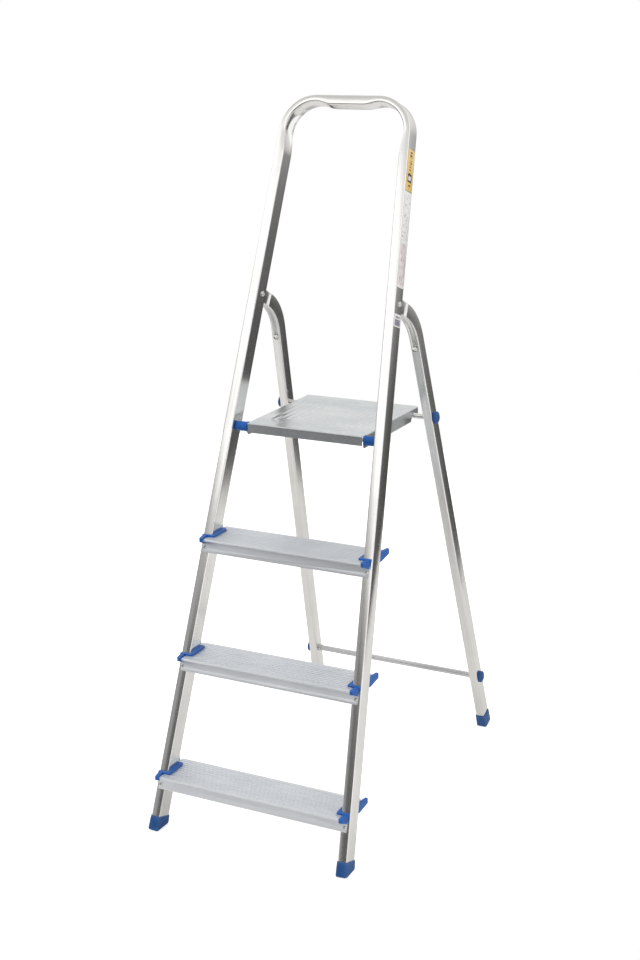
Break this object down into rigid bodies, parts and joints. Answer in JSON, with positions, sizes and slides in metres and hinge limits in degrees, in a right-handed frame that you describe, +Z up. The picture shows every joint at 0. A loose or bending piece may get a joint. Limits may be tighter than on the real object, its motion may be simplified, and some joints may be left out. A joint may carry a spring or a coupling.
{
  "type": "folding step ladder",
  "caption": "Folding step ladder: a tall bent-tube front frame with ribbed treads and a standing platform, and a hinged rear frame with a crossbar.",
  "frame": {"origin": "on the floor, in the middle of the open ladder's footprint", "axes": "+Z up; X across the ladder; the treads face -Y, so a person climbs facing +Y; the rear legs stand towards +Y"},
  "size_m": [0.466, 0.8074, 1.4895],
  "materials": {
    "frame_aluminium": "matt extruded aluminium",
    "leg_aluminium": "matt extruded aluminium",
    "tread_aluminium": "matt extruded aluminium, ribbed",
    "galvanised_steel": "galvanised sheet with a faint bluish spangle",
    "plated_steel": "zinc plated",
    "blue_plastic": "satin moulded plastic",
    "yellow_sticker": "printed film",
    "white_sticker": "printed film"
  },
  "bodies": {
    "front": {"front_frame": "frame_aluminium", "tread_1": "tread_aluminium", "tread_2": "tread_aluminium", "tread_3": "tread_aluminium", "tread_clip_1_left": "blue_plastic", "tread_clip_1_right": "blue_plastic", "tread_clip_2_left": "blue_plastic", "tread_clip_2_right": "blue_plastic", "tread_clip_3_left": "blue_plastic", "tread_clip_3_right": "blue_plastic", "tread_rivets": "plated_steel", "platform_pivot_rod": "plated_steel", "pivot_rod_retainers": "plated_steel", "platform_bush_left": "blue_plastic", "platform_bush_right": "blue_plastic", "hinge_pin_left": "plated_steel", "hinge_pin_right": "plated_steel", "foot_front_left": "blue_plastic", "foot_front_right": "blue_plastic", "name_sticker": "yellow_sticker", "safety_sticker": "white_sticker", "code_sticker": "white_sticker"},
    "rear": {"platform_rest_rod": "plated_steel", "rest_rod_cap_left": "blue_plastic", "rest_rod_cap_right": "blue_plastic", "rear_leg_left": "leg_aluminium", "rear_leg_right": "leg_aluminium", "rear_crossbar": "leg_aluminium", "crossbar_cap_left": "blue_plastic", "crossbar_cap_right": "blue_plastic", "crossbar_collar_left": "plated_steel", "crossbar_collar_right": "plated_steel", "foot_rear_left": "blue_plastic", "foot_rear_right": "blue_plastic"},
    "platform": {"platform": "galvanised_steel"}
  },
  "joints": [
    {"name": "rear_fold", "type": "hinge", "parent": "front", "child": "rear", "pos_m": [0, -0.00084, 1.08455], "axis": [-1, 0, 0], "range_deg": [0, 35]},
    {"name": "platform_lift", "type": "hinge", "parent": "front", "child": "platform", "pos_m": [0, -0.09799, 0.819], "axis": [1, 0, 0], "range_deg": [0, 70]}
  ],
  "couplings": [
    {"joint": "platform_lift", "follows": "rear_fold", "ratio": 2}
  ]
}
